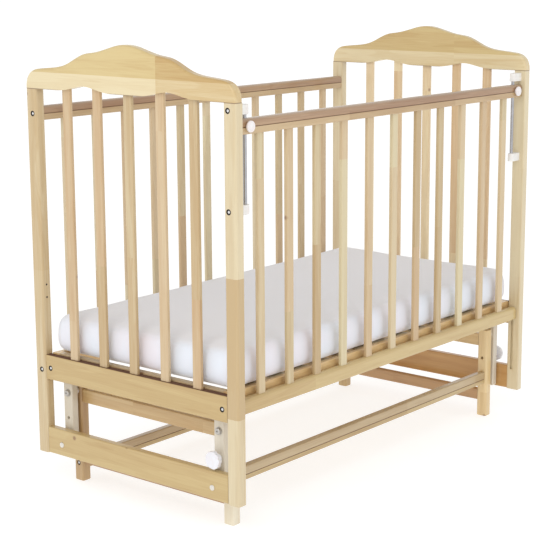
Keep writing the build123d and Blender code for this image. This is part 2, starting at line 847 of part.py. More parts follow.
def lower_bush(end, side):
    """Sleeve between the low rail and the foot of a lever."""
    xs = (end * (lever_outer + face_play), end * end_rail_inner)
    return ring_along_x(bush_radius, pivot_radius + joint_play, *xs, side * lever_y, lever_pivot_low)


def lock_stud(end):
    """Steel stud of a lock knob, drawn back out of the base post."""
    root = end * (lever_outer + face_play + stud_in_knob)
    return rod_along_x(stud_radius, end * (lever_inner - stud_past_lever), root, -lever_y, lock_z)


def lock_knob(end):
    """Scalloped hand knob on its stud."""
    y = -lever_y
    near = lever_outer + face_play
    face = near + knob_neck + knob_thick
    head = rod_along_x(knob_radius, end * (near + knob_neck), end * face, y, lock_z)
    head = fillet(outer_rim(head, end), knob_face_round)
    reach = knob_radius + scallop_radius - scallop_depth
    for i in range(knob_scallops):
        turn = 2 * math.pi * i / knob_scallops
        place = (y + reach * math.cos(turn), lock_z + reach * math.sin(turn))
        head -= rod_along_x(scallop_radius, end * near, end * (face + 1), *place)
    knob = head + rod_along_x(knob_neck_radius, end * near, end * (near + knob_neck), y, lock_z)
    bore = (end * (near - 1), end * (near + stud_in_knob + joint_play))
    return knob - rod_along_x(stud_radius + joint_play, *bore, y, lock_z)


def write_end_panel(name, end):
    """Posts, crest, rails and slats of one end."""
    for side_name, side in SIDES.items():
        save(f"post_{side_name}_{name}", end_post(end, side))
    save(f"crest_{name}", crest(end))
    save(f"slat_rail_{name}", slat_rail(end))
    save(f"low_rail_{name}", low_rail(end))
    save(f"end_slats_{name}", *[end_slat(end, y) for y in places(end_slat_count, end_slat_pitch)])


def write_long_sides():
    """Fixed back side and drop side."""
    save("back_top_rail", back_rail(bead_profile(side_mid, back_rail_top), back_rail_top))
    save("back_low_rail", back_rail(plain_profile(side_mid, back_low_top), back_low_top))
    save("back_slats", *side_slats(side_mid, back_rail_top, back_low_top))
    save("drop_top_rail", drop_top_rail())
    save("drop_low_rail", drop_low_rail())
    save("drop_slats", *side_slats(-side_mid, drop_rail_top, drop_low_top))
    save("rod_sleeves", *[rod_sleeve(end) for end in ENDS.values()])
    save("guide_pins", *[guide_pin(end) for end in ENDS.values()])


def write_drop_fittings(name, end):
    """Rod, brackets and catch of one end of the drop side."""
    save(f"guide_rod_{name}", guide_rod(end))
    save(f"rod_brackets_{name}", rod_bracket(end, bracket_low), rod_bracket(end, bracket_high))
    save(f"catch_button_{name}", catch_button(end))


def write_deck():
    """Mattress base and mattress."""
    for name, side in SIDES.items():
        save(f"deck_rail_{name}", deck_side_rail(side))
    save("deck_end_rails", *[deck_end_rail(end) for end in ENDS.values()])
    save("deck_slats", *[deck_slat(x) for x in places(deck_slat_count, deck_slat_pitch)])
    save("mattress", mattress())


def write_frame_fixings():
    """Bolts of the cot frame and the dowels of its crests."""
    bolts = []
    dowels = []
    for end in ENDS.values():
        for z in back_rail_mids():
            bolts.append(frame_bolt(end, half_length, side_mid, z, rail_bolt_reach()))
        for z in bracket_mids():
            bolts.append(frame_bolt(end, half_length, -side_mid, z, bracket_bolt_reach()))
        for side in SIDES.values():
            y = side * deck_rail_mid()
            bolts.append(frame_bolt(end, end_rail_outer, y, deck_bolt_z, deck_bolt_reach()))
            dowels += crest_dowels(end, side)
    save("frame_bolts", *bolts)
    save("crest_dowels", *dowels)


def write_base():
    """Posts, cross rails, stretchers and bolts of the swing base."""
    for end_name, end in ENDS.items():
        for side_name, side in SIDES.items():
            save(f"base_post_{side_name}_{end_name}", base_post(end, side))
        (low, low_top), (high, high_top) = base_rail_heights()
        save(f"base_low_rail_{end_name}", base_cross_rail(end, low, low_top))
        save(f"base_top_rail_{end_name}", base_cross_rail(end, high, high_top))
    bolts = []
    for side_name, side in SIDES.items():
        save(f"base_stretcher_{side_name}", base_stretcher(side))
        place = (side * lever_y, stretcher_mid(side))
        for end in ENDS.values():
            bolts.append(frame_bolt(end, base_outer, *place, stretcher_bolt_reach()))
    save("base_bolts", *bolts)


def write_swing():
    """Levers with their pivots, and the lock knobs."""
    corners = [(end, side) for end in ENDS.values() for side in SIDES.values()]
    for end_name, end in ENDS.items():
        for side_name, side in SIDES.items():
            save(f"lever_{side_name}_{end_name}", lever(end, side))
    save("upper_pivot_bolts", *[upper_pivot(*c) for c in corners])
    save("upper_pivot_bushes", *[upper_bush(*c) for c in corners])
    save("upper_pivot_washers", *[upper_washer(*c) for c in corners])
    save("lower_pivot_bolts", *[lower_pivot(*c) for c in corners])
    save("lower_pivot_bushes", *[lower_bush(*c) for c in corners])
    save("lower_pivot_nuts", *[lower_nut(*c) for c in corners])
    for name, end in ENDS.items():
        save(f"lock_knob_{name}", lock_knob(end))
        save(f"lock_stud_{name}", lock_stud(end))


for end_name, end in ENDS.items():
    write_end_panel(end_name, end)
    write_drop_fittings(end_name, end)
write_long_sides()
write_deck()
write_frame_fixings()
write_base()
write_swing()
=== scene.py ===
import math
import bmesh
import bpy
from mathutils import Matrix, Vector, noise


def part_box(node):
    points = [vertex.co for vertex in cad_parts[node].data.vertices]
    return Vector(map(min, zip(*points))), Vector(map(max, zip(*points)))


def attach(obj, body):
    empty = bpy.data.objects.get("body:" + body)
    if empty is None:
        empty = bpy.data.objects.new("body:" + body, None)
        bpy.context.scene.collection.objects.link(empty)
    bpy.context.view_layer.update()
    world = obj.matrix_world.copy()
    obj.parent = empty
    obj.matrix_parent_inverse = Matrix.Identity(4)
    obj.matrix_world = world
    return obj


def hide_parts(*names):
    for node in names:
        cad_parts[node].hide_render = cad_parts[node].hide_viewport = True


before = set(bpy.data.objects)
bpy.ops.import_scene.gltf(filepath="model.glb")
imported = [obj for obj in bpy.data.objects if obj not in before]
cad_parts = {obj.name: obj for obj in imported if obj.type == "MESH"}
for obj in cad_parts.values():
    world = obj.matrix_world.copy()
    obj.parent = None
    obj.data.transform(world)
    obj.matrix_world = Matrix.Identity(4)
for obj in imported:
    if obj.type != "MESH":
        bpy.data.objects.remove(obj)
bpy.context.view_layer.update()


# Swing base: four square birch posts with two cross rails at each end and two
# long stretchers. Planed, rounded, bolted at the stretchers, and lacquered
# clear, so that the fine figure of the birch shows through a soft gloss.
def tint(red, green, blue):
    """Colour given in steps of 0 to 255, as a shader takes it."""
    steps = [step / 255 for step in (red, green, blue)]
    return tuple(s / 12.92 if s < 0.04045 else ((s + 0.055) / 1.055) ** 2.4 for s in steps) + (1.0,)


def feed(tree, value, socket):
    """Link a socket to another, or set it to a plain value."""
    if isinstance(value, bpy.types.NodeSocket):
        tree.links.new(value, socket)
    else:
        socket.default_value = value


def reckon(tree, operation, first, second=0.0):
    """Sum, product or comparison of two numbers over the surface."""
    node = tree.nodes.new("ShaderNodeMath")
    node.operation = operation
    feed(tree, first, node.inputs[0])
    feed(tree, second, node.inputs[1])
    return node.outputs[0]


def turn_vector(tree, operation, first, second=(0, 0, 0)):
    """The same for two vectors."""
    node = tree.nodes.new("ShaderNodeVectorMath")
    node.operation = operation
    feed(tree, first, node.inputs[0])
    feed(tree, second, node.inputs["Scale" if operation == "SCALE" else 1])
    return node.outputs["Value" if operation == "DOT_PRODUCT" else "Vector"]


def blend_tints(tree, share, first, second):
    """From the first colour to the second, by share."""
    node = tree.nodes.new("ShaderNodeMix")
    node.data_type = "RGBA"
    feed(tree, share, node.inputs[0])
    feed(tree, first, node.inputs[6])
    feed(tree, second, node.inputs[7])
    return node.outputs[2]


def ease(tree, value, start, stop, low=0.0, high=1.0):
    """Smooth step of a value between two limits."""
    node = tree.nodes.new("ShaderNodeMapRange")
    node.interpolation_type = "SMOOTHSTEP"
    feed(tree, value, node.inputs["Value"])
    feed(tree, start, node.inputs["From Min"])
    feed(tree, stop, node.inputs["From Max"])
    feed(tree, low, node.inputs["To Min"])
    feed(tree, high, node.inputs["To Max"])
    return node.outputs["Result"]


def mottle(tree, place, scale, detail=3.0, twist=0.0):
    """Cloudy noise over the surface."""
    node = tree.nodes.new("ShaderNodeTexNoise")
    feed(tree, place, node.inputs["Vector"])
    node.inputs["Scale"].default_value = scale
    node.inputs["Detail"].default_value = detail
    node.inputs["Distortion"].default_value = twist
    return node.outputs["Fac"]


def chance(tree, place, seed):
    """A random value and colour for each place."""
    node = tree.nodes.new("ShaderNodeTexWhiteNoise")
    node.noise_dimensions = "4D"
    feed(tree, place, node.inputs["Vector"])
    feed(tree, seed, node.inputs["W"])
    return node


def birch_figure_group():
    """Grain of glued-up birch: each board has its own tone and figure."""
    group = bpy.data.node_groups.new("birch_figure", "ShaderNodeTree")
    sockets = (
        ("Place", "NodeSocketVector"),
        ("Along", "NodeSocketVector"),
        ("Board", "NodeSocketVector"),
        ("Joint", "NodeSocketVector"),
        ("Seed", "NodeSocketFloat"),
        ("Pale", "NodeSocketColor"),
        ("Deep", "NodeSocketColor"),
        ("Tone", "NodeSocketFloat"),
        ("Figure", "NodeSocketFloat"),
        ("Spread", "NodeSocketFloat"),
        ("Stagger", "NodeSocketFloat"),
        ("Blush", "NodeSocketFloat"),
        ("Knots", "NodeSocketFloat"),
    )
    for name, kind in sockets:
        group.interface.new_socket(name=name, in_out="INPUT", socket_type=kind)
    group.interface.new_socket(name="Colour", in_out="OUTPUT", socket_type="NodeSocketColor")
    group.interface.new_socket(name="Fibre", in_out="OUTPUT", socket_type="NodeSocketFloat")
    given = group.nodes.new("NodeGroupInput").outputs
    result = group.nodes.new("NodeGroupOutput").inputs

    stretch, knot_spacing = 0.94, 8.0
    length = turn_vector(group, "DOT_PRODUCT", given["Place"], given["Along"])
    run = turn_vector(group, "SCALE", given["Along"], length)
    drawn_out = turn_vector(group, "SUBTRACT", given["Place"], turn_vector(group, "SCALE", run, stretch))
    from_joint = turn_vector(group, "SUBTRACT", given["Place"], given["Joint"])
    cells = turn_vector(group, "DIVIDE", from_joint, given["Board"])
    crosswise = turn_vector(group, "SUBTRACT", (1, 1, 1), given["Along"])
    strips = turn_vector(group, "MULTIPLY", cells, crosswise)
    strip = chance(group, turn_vector(group, "FLOOR", strips), given["Seed"])
    shift = reckon(group, "MULTIPLY", strip.outputs["Value"], given["Stagger"])
    cells = turn_vector(group, "ADD", cells, turn_vector(group, "SCALE", given["Along"], shift))
    board = chance(group, turn_vector(group, "FLOOR", cells), given["Seed"])
    own = turn_vector(group, "ADD", drawn_out, turn_vector(group, "SCALE", board.outputs["Color"], 6.0))

    cloud = mottle(group, own, 55.0, 3.0, 0.5)
    rings = reckon(group, "SINE", reckon(group, "MULTIPLY", cloud, 46.0))
    fibre_scale, fibre_stretch = 620.0, 0.045
    fibre_place = turn_vector(group, "SUBTRACT", own, turn_vector(group, "SCALE", run, fibre_stretch))
    fibre = mottle(group, fibre_place, fibre_scale, 2.0)
    board_share = 0.6
    board_tone = reckon(group, "MULTIPLY", board.outputs["Value"], board_share)
    both = reckon(group, "ADD", strip.outputs["Value"], board_tone)
    middle_tone = (1 + board_share) / 2
    tone = reckon(group, "MULTIPLY", reckon(group, "SUBTRACT", both, middle_tone), given["Spread"])
    tone = reckon(group, "ADD", tone, given["Tone"])
    figure = reckon(group, "MULTIPLY", reckon(group, "SUBTRACT", cloud, 0.5), 2.4)
    figure = reckon(group, "ADD", figure, reckon(group, "MULTIPLY", rings, 0.13))
    figure = reckon(group, "ADD", figure, reckon(group, "SUBTRACT", fibre, 0.5))
    figure = reckon(group, "MULTIPLY", figure, given["Figure"])
    share = reckon(group, "ADD", reckon(group, "ADD", tone, figure), 0.5)
    share = ease(group, share, -0.15, 1.15)
    wood = blend_tints(group, share, given["Deep"], given["Pale"])
    hues = group.nodes.new("ShaderNodeSeparateColor")
    group.links.new(board.outputs["Color"], hues.inputs[0])
    blush = reckon(group, "MULTIPLY", ease(group, hues.outputs["Green"], 0.4, 0.6), given["Blush"])
    wood = blend_tints(group, blush, wood, tint(206, 166, 128))

    spots = group.nodes.new("ShaderNodeTexVoronoi")
    spots.inputs["Scale"].default_value = knot_spacing
    group.links.new(given["Place"], spots.inputs["Vector"])
    knot = ease(group, spots.outputs["Distance"], 0.062, 0.020)
    knot = reckon(group, "MULTIPLY", knot, given["Knots"])
    group.links.new(blend_tints(group, knot, wood, tint(120, 72, 38)), result["Colour"])
    group.links.new(fibre, result["Fibre"])
    return group


birch_figure = birch_figure_group()
ALONG_X, ALONG_Y, ALONG_Z = (1, 0, 0), (0, 1, 0), (0, 0, 1)


def near_line(tree, height, glue_line_and_groove_shade):
    """How far the surface is from a level line."""
    return reckon(tree, "ABSOLUTE", reckon(tree, "SUBTRACT", height, glue_line_and_groove_shade))


def stepped_tone(tree, height, tones):
    """Tone of each glued length, from its foot upwards."""
    total = tones[0][1]
    for (_, below), (foot, tone) in zip(tones, tones[1:]):
        step = reckon(tree, "MULTIPLY", reckon(tree, "GREATER_THAN", height, foot), tone - below)
        total = reckon(tree, "ADD", total, step)
    return total


def near_bores(tree, apart, bores, level="Y"):
    """How far the surface is from the middle of the nearest of some level holes."""
    nearest = None
    for across, up in bores:
        side = reckon(tree, "SUBTRACT", apart.outputs[level], across)
        rise = reckon(tree, "SUBTRACT", apart.outputs["Z"], up)
        side_square = reckon(tree, "MULTIPLY", side, side)
        rise_square = reckon(tree, "MULTIPLY", rise, rise)
        off = reckon(tree, "SQRT", reckon(tree, "ADD", side_square, rise_square))
        nearest = off if nearest is None else reckon(tree, "MINIMUM", nearest, off)
    return nearest


def lacquered_birch(
    name, along, board, joint, seed, pale, deep,
    figure=0.55, spread=0.7, stagger=0.0, blush=0.0, tones=((0, 0),), band=None, painted_sheen=None, glue_line_and_groove_shade=None,
    bores=(), pilots=None, painted_shade_top=None,
):
    """Clear-lacquered birch.

    tones are the tones of its glued lengths and blush the redness of some
    boards. band gives another colour above a height, painted_sheen a paler, greyer
    painted highlight between two heights, and glue_line_and_groove_shade the height of
    a dark line: a glue joint on posts and crests, painted shade in the groove of rails
    and stretchers. bores are bolt holes and pilots screw holes on the inner face, both
    darkened as painted shade in the hole, and painted_shade_top is the height of a top
    face painted dark as the shade under the mattress, with a dull, thin coat.
    """
    wood = bpy.data.materials.new(name)
    wood.use_nodes = True
    tree = wood.node_tree
    shader = tree.nodes["Principled BSDF"]
    place = tree.nodes.new("ShaderNodeTexCoord").outputs["Object"]
    height = tree.nodes.new("ShaderNodeSeparateXYZ")
    tree.links.new(place, height.inputs[0])
    if band:
        above = reckon(tree, "GREATER_THAN", height.outputs["Z"], band[0])
        pale = blend_tints(tree, above, pale, band[1])
        deep = blend_tints(tree, above, deep, band[2])
    grain = tree.nodes.new("ShaderNodeGroup")
    grain.node_tree = birch_figure
    given = {"Place": place, "Along": along, "Board": board, "Joint": joint, "Seed": seed}
    given.update({"Pale": pale, "Deep": deep, "Figure": figure, "Spread": spread})
    given.update({"Knots": 0.7, "Stagger": stagger, "Blush": blush})
    given.update({"Tone": stepped_tone(tree, height.outputs["Z"], tones)})
    for socket, value in given.items():
        feed(tree, value, grain.inputs[socket])
    colour = grain.outputs["Colour"]
    gloss = ease(tree, grain.outputs["Fibre"], 0.3, 0.7, 0.46, 0.34)
    coat = 0.6
    shader.inputs["Coat Weight"].default_value = coat
    # Painted highlight: a paler, greyer colour near the top of the bead.
    if painted_sheen:
        sheen_share = ease(tree, height.outputs["Z"], painted_sheen[0], painted_sheen[1])
        colour = blend_tints(tree, reckon(tree, "MULTIPLY", sheen_share, 0.7), colour, painted_sheen[2])
    # A dark level line: on posts and crests the glue joint, on rails and stretchers painted shade in the
    # groove.
    if glue_line_and_groove_shade:
        line_edge, line_core, line_strength = 0.0016, 0.0004, 0.75
        off_line = near_line(tree, height.outputs["Z"], glue_line_and_groove_shade)
        line = ease(tree, off_line, line_edge, line_core, 0.0, line_strength)
        colour = blend_tints(tree, line, colour, tint(104, 66, 38))
    # Painted shade: each bolt recess is darkened to near black.
    if bores:
        recess_shade_edge, recess_shade_radius = 0.0072, 0.0064
        painted_hole_shade = ease(tree, near_bores(tree, height, bores), recess_shade_edge, recess_shade_radius)
        colour = blend_tints(tree, painted_hole_shade, colour, tint(38, 28, 22))
    # Painted shade: each screw hole on the inner face is darkened.
    if pilots:
        middle, holes = pilots
        pilot_edge, pilot_radius = 0.0030, 0.0022
        painted_hole_shade = ease(tree, near_bores(tree, height, holes, "X"), pilot_edge, pilot_radius)
        inner = reckon(tree, "LESS_THAN", height.outputs["Y"], middle)
        colour = blend_tints(tree, reckon(tree, "MULTIPLY", painted_hole_shade, inner), colour, tint(58, 36, 24))
    # Painted shade: the top face under the mattress is dark brown, with a dull, thin coat.
    if painted_shade_top:
        shade_depth, full_shade = 0.0012, 0.0002
        dark = ease(tree, height.outputs["Z"], painted_shade_top - shade_depth, painted_shade_top - full_shade)
        colour = blend_tints(tree, dark, colour, tint(96, 62, 40))
        gloss = reckon(tree, "ADD", gloss, reckon(tree, "MULTIPLY", dark, 0.5))
        thin_coat = reckon(tree, "SUBTRACT", coat, reckon(tree, "MULTIPLY", dark, coat))
        tree.links.new(thin_coat, shader.inputs["Coat Weight"])
    tree.links.new(colour, shader.inputs["Base Color"])
    tree.links.new(gloss, shader.inputs["Roughness"])
    shader.inputs["Coat Roughness"].default_value = 0.14
    bump = tree.nodes.new("ShaderNodeBump")
    bump.inputs["Strength"].default_value = 0.12
    bump.inputs["Distance"].default_value = 0.0004
    tree.links.new(grain.outputs["Fibre"], bump.inputs["Height"])
    tree.links.new(bump.outputs["Normal"], shader.inputs["Normal"])
    return wood


def dress(material, *names):
    """Give CAD nodes their finish."""
    for name in names:
        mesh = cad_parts[name].data
        mesh.materials.clear()
        mesh.materials.append(material)
        mesh.polygons.foreach_set("material_index", [0] * len(mesh.polygons))


# A piece in one_board, laid from far_corner, has no glued joint along it.
ends = ("left", "right")
sides = ("front", "back")
whole = 10.0
outside = -whole / 2
one_board, far_corner = (whole, whole, whole), (outside, outside, outside)
# The base has darker tints than the cot, as painted shade. Each base post has its own tint, both its board's
# tone and painted light and shade; the back-left post's darker tint is painted shade.
base_pale, base_deep = tint(206, 180, 130), tint(178, 143, 92)
base_post_tone_and_shade = {
    "base_post_front_left": (tint(240, 232, 210), tint(222, 208, 180)),
    "base_post_back_left": (tint(196, 166, 120), tint(168, 132, 86)),
    "base_post_front_right": (tint(232, 208, 160), tint(206, 174, 122)),
    "base_post_back_right": (base_pale, base_deep),
}
for step, (name, (pale, deep)) in enumerate(base_post_tone_and_shade.items()):
    wood = lacquered_birch(
        f"birch_{name}", ALONG_Z, (whole, whole, 0.19), (outside, outside, 0.07), 3.1 + step,
        pale, deep, spread=0.3,
    )
    dress(wood, name)
# The low rails get a darker, more orange tint as painted shade, the top rails a paler one as painted light.
base_rail_light_and_shade_tints = {
    "low": (tint(190, 150, 104), tint(160, 118, 76)),
    "top": (tint(224, 198, 148), tint(196, 161, 108)),
}
for seed, end in enumerate(ends):
    for rail, (pale, deep) in base_rail_light_and_shade_tints.items():
        name = f"base_{rail}_rail_{end}"
        wood = lacquered_birch(
            f"birch_{name}", ALONG_Y, (whole, 0.23, 0.1), (outside, -0.4, 0.1), 11.3 + seed,
            pale, deep, spread=0.4,
        )
        dress(wood, name)
for seed, side in enumerate(sides):
    name = f"base_stretcher_{side}"
    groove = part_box(name)[0].z + 0.013
    # Painted shade: the stretchers have darker tints than the cot's rails.
    wood = lacquered_birch(
        f"birch_{name}", ALONG_X, (0.34, whole, whole), (-0.53, outside, outside), 21.7 + seed,
        tint(195, 170, 120), tint(168, 135, 84), band=(groove, tint(192, 170, 132), tint(166, 136, 94)),
        # painted shade: a dark line in the groove
        glue_line_and_groove_shade=groove,
    )
    dress(wood, name)


# Bolts: zinc-plated steel bolts with a key socket, turned, and sunk in
# recesses of the wood. Dark grey heads, each with a painted glint at the socket.
def zinc_plate(name, shade, roughness):
    """Bright plated steel with faint turning marks."""
    metal = bpy.data.materials.new(name)
    metal.use_nodes = True
    tree = metal.node_tree
    shader = tree.nodes["Principled BSDF"]
    place = tree.nodes.new("ShaderNodeTexCoord").outputs["Object"]
    marks = mottle(tree, turn_vector(tree, "MULTIPLY", place, (1, 1, 0.25)), 900.0, 2.0)
    dull = mottle(tree, place, 70.0, 2.0)
    dark = tuple(0.9 * part for part in shade[:3]) + (1.0,)
    tree.links.new(blend_tints(tree, ease(tree, dull, 0.3, 0.7), shade, dark), shader.inputs["Base Color"])
    gloss = ease(tree, marks, 0.3, 0.7, roughness - 0.07, roughness + 0.07)
    tree.links.new(gloss, shader.inputs["Roughness"])
    shader.inputs["Metallic"].default_value = 1.0
    return metal


def bolts_with_painted_glint(name, places):
    """Bolt heads in dark grey plate, with a painted white glint at the key socket."""
    metal = zinc_plate(name, tint(92, 90, 88), 0.42)
    tree = metal.node_tree
    shader = tree.nodes["Principled BSDF"]
    apart = tree.nodes.new("ShaderNodeSeparateXYZ")
    tree.links.new(tree.nodes.new("ShaderNodeTexCoord").outputs["Object"], apart.inputs[0])
    # Painted highlight: a white, non-metal glint in the middle of each head.
    socket = ease(tree, near_bores(tree, apart, places), 0.0032, 0.0024)
    plate = shader.inputs["Base Color"].links[0].from_socket
    tree.links.new(blend_tints(tree, socket, plate, tint(250, 250, 250)), shader.inputs["Base Color"])
    tree.links.new(reckon(tree, "SUBTRACT", 1.0, socket), shader.inputs["Metallic"])
    return metal


stretcher_bolts = [(-0.252, 0.115), (0.252, 0.0465)]
dress(bolts_with_painted_glint("base_bolt_zinc", stretcher_bolts), "base_bolts")


# Levers: four bars of paler, greyer birch that hang on the base posts and
# carry the cot. Cut across, rounded all round and lacquered.
lever_pale, lever_deep = tint(222, 213, 196), tint(200, 189, 168)
for seed, side in enumerate(sides):
    for step, end in enumerate(ends):
        name = f"lever_{side}_{end}"
        wood = lacquered_birch(
            f"birch_{name}", ALONG_Z, one_board, far_corner, 41.2 + 2 * seed + step,
            lever_pale, lever_deep, figure=0.4, spread=0.3,
        )
        dress(wood, name)


# Pivots: plain bolts with round heads in the base posts and the low rails,
# plated washers and nuts, and white plastic bushes that the levers run on.
def moulded_white(name, shade, roughness):
    """Moulded plastic with a faint flow pattern."""
    plastic = bpy.data.materials.new(name)
    plastic.use_nodes = True
    tree = plastic.node_tree
    shader = tree.nodes["Principled BSDF"]
    place = tree.nodes.new("ShaderNodeTexCoord").outputs["Object"]
    flow = ease(tree, mottle(tree, place, 60.0, 2.0), 0.35, 0.65)
    warm = (shade[0] * 0.97, shade[1] * 0.94, shade[2] * 0.93, 1.0)
    tree.links.new(blend_tints(tree, flow, shade, warm), shader.inputs["Base Color"])
    grain = mottle(tree, place, 1400.0, 1.0)
    gloss = ease(tree, grain, 0.3, 0.7, roughness - 0.05, roughness + 0.05)
    tree.links.new(gloss, shader.inputs["Roughness"])
    bump = tree.nodes.new("ShaderNodeBump")
    bump.inputs["Strength"].default_value = 0.05
    bump.inputs["Distance"].default_value = 0.0002
    tree.links.new(grain, bump.inputs["Height"])
    tree.links.new(bump.outputs["Normal"], shader.inputs["Normal"])
    shader.inputs["Subsurface Weight"].default_value = 0.08
    shader.inputs["Subsurface Radius"].default_value = (0.004, 0.003, 0.003)
    return plastic


dress(zinc_plate("pivot_heads", tint(196, 192, 186), 0.38), "upper_pivot_bolts", "upper_pivot_washers")
dress(zinc_plate("pivot_caps", tint(232, 228, 220), 0.42), "lower_pivot_bolts", "lower_pivot_nuts")
dress(moulded_white("bush_plastic", tint(232, 230, 226), 0.4), "upper_pivot_bushes", "lower_pivot_bushes")


# Lock knobs: scalloped white hand knobs on steel studs. Moulded plastic,
# screwed through the front levers to pin the swing.
dress(moulded_white("knob_plastic", tint(236, 238, 244), 0.32), "lock_knob_left", "lock_knob_right")
dress(zinc_plate("stud_steel", tint(206, 206, 208), 0.3), "lock_stud_left", "lock_stud_right")


# End panel posts: long square birch posts, finger-jointed from short
# lengths, so that the tone changes along them. The crest is glued on top.
post_pale, post_deep = tint(218, 203, 168), tint(194, 167, 122)
crest_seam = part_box("crest_left")[0].z
side_middle = 0.314
back_bolts = [(side_middle, 0.9335), (side_middle, 0.2935)]
front_bolts = [(-side_middle, 0.755), (-side_middle, 0.977)]
pilot_heights = (0.478, 0.510)
# Each glued length of a post has its foot and its tone.
post_lengths = {
    "post_front_left": (((0, 0.2), (0.282, -0.62), (0.606, 0.35)), 5.0, front_bolts),
    "post_back_left": (((0, -0.1), (0.546, -0.24)), 7.0, back_bolts),
    "post_front_right": (((0, 0.35), (0.41, 0.45), (0.72, 0.6)), 9.0, front_bolts),
    "post_back_right": (((0, 0.0), (0.63, 0.2)), 12.0, back_bolts),
}
for name, (tones, seed, bores) in post_lengths.items():
    across = math.copysign(0.612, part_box(name)[0].x)
    holes = [(across, height) for height in pilot_heights] if "back" in name else []
    wood = lacquered_birch(
        f"birch_{name}", ALONG_Z, one_board, far_corner, seed,
        post_pale, post_deep, spread=0.0, tones=tones, glue_line_and_groove_shade=crest_seam, bores=bores,
        pilots=(side_middle, holes) if holes else None,
    )
    dress(wood, name)


# Cross rails of the end panels: two birch boards tenoned into the posts.
# The upper one carries the slats, the lower one hangs on the levers.
rail_pale, rail_deep = tint(203, 179, 125), tint(181, 148, 94)
# The right low rail gets a darker, more orange tint: painted shade.
low_rail_tints_with_shade = {"left": (rail_pale, rail_deep), "right": (tint(206, 164, 106), tint(184, 136, 78))}
deck_bolts = [(-0.285, 0.3), (0.285, 0.3)]
for seed, end in enumerate(ends):
    slat_rail, low_rail = f"slat_rail_{end}", f"low_rail_{end}"
    # Painted shade: the slat rail's top is dark under the mattress, and its bolt recesses are darkened.
    wood = lacquered_birch(
        f"birch_{slat_rail}", ALONG_Y, one_board, far_corner, 31.0 + seed,
        rail_pale, rail_deep, spread=0.2, bores=deck_bolts, painted_shade_top=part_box(slat_rail)[1].z,
    )
    dress(wood, slat_rail)
    wood = lacquered_birch(
        f"birch_{low_rail}", ALONG_Y, one_board, far_corner, 35.0 + seed,
        *low_rail_tints_with_shade[end], spread=0.2,
    )
    dress(wood, low_rail)


# End slats: flat birch slats with rounded edges, five to a panel, housed in
# the crest and the upper cross rail. Each is sawn from another board.
slat_pale, slat_deep = tint(216, 202, 166), tint(189, 160, 115)
# The right end's slats get paler tints: painted light.
slats_painted_light = (tint(236, 220, 182), tint(208, 178, 132))
end_slat_tints = {"left": (slat_pale, slat_deep), "right": slats_painted_light}
end_slat_pitch = 0.102
for seed, end in enumerate(ends):
    wood = lacquered_birch(
        f"birch_end_slats_{end}", ALONG_Z, (whole, end_slat_pitch, 0.6), (outside, -end_slat_pitch / 2, 0.1),
        51.4 + seed, *end_slat_tints[end], spread=0.8, stagger=0.9, blush=0.3,
    )
    dress(wood, f"end_slats_{end}")


# Crests: scalloped top boards of the end panels. Each is glued up from
# boards of two tones, cut to the outline and rounded on both faces.
crest_pale, crest_deep = tint(226, 210, 170), tint(204, 176, 124)
crest_glue = 1.035
for seed, end in enumerate(ends):
    wood = lacquered_birch(
        f"birch_crest_{end}", ALONG_Y, (whole, 0.6, whole), (outside, -0.1, outside), 61.0 + seed,
        crest_pale, crest_deep, band=(crest_glue, tint(212, 190, 134), tint(188, 152, 92)), glue_line_and_groove_shade=crest_seam,
    )
    dress(wood, f"crest_{end}")


# Fixings of the cot frame: plated bolts through the posts, and beech dowels
# that hold the crests.
dress(bolts_with_painted_glint("frame_bolt_zinc", front_bolts + back_bolts + deck_bolts), "frame_bolts")
dowel_wood = lacquered_birch(
    "beech_dowels", ALONG_Z, one_board, far_corner, 71.0,
    tint(214, 178, 132), tint(186, 144, 100),
)
dress(dowel_wood, "crest_dowels")


# Fixed back side: a beaded top rail and a plain low rail, with eleven slats
# housed between them, bolted to the back posts.
bead_pale, bead_deep = tint(182, 150, 116), tint(150, 112, 80)
band_pale, band_deep = tint(202, 176, 135), tint(178, 145, 102)
bead_start = 0.016
side_slat_pitch = 0.104


def dress_long_side(rail, low_rail, slats, seed, pale, deep):
    """Finish of the two rails and the slats of one long side."""
    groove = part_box(rail)[0].z + bead_start
    wood = lacquered_birch(
        f"birch_{rail}", ALONG_X, (0.46, whole, whole), (-0.2, outside, outside), seed,
        # painted shade: a dark line in the groove
        band_pale, band_deep, spread=0.4, band=(groove, bead_pale, bead_deep), glue_line_and_groove_shade=groove,
        # painted highlight: the top of the bead is paler and greyer
        painted_sheen=(groove + 0.012, groove + 0.024, tint(196, 182, 164)),
    )
    dress(wood, rail)
    wood = lacquered_birch(
        f"birch_{low_rail}", ALONG_X, (0.39, whole, whole), (-0.33, outside, outside), seed + 1,
        rail_pale, rail_deep,
    )
    dress(wood, low_rail)
    wood = lacquered_birch(
        f"birch_{slats}", ALONG_Z, (side_slat_pitch, whole, 0.55), (-side_slat_pitch / 2, outside, 0.16),
        seed + 2, pale, deep, spread=0.8, stagger=0.9, blush=0.3,
    )
    dress(wood, slats)


back_pale, back_deep = tint(220, 208, 174), tint(192, 168, 126)
dress_long_side("back_top_rail", "back_low_rail", "back_slats", 81.0, back_pale, back_deep)


# Mattress base: two rebated rails and two end rails of birch, with thirteen
# slats laid in the rebates.
for seed, side in enumerate(sides):
    name = f"deck_rail_{side}"
    # Painted light: the deck rails get paler, warmer tints than the deck, where the drop side shades them.
    wood = lacquered_birch(
        f"birch_{name}", ALONG_X, (0.5, whole, whole), (-0.31, outside, outside), 91.0 + seed,
        tint(236, 206, 152), tint(214, 176, 120),
    )
    dress(wood, name)
deck_wood = lacquered_birch(
    "birch_deck", ALONG_Y, (0.084, whole, whole), (-0.042, outside, outside), 95.0,
    tint(208, 190, 154), tint(182, 154, 112),
)
dress(deck_wood, "deck_end_rails", "deck_slats")


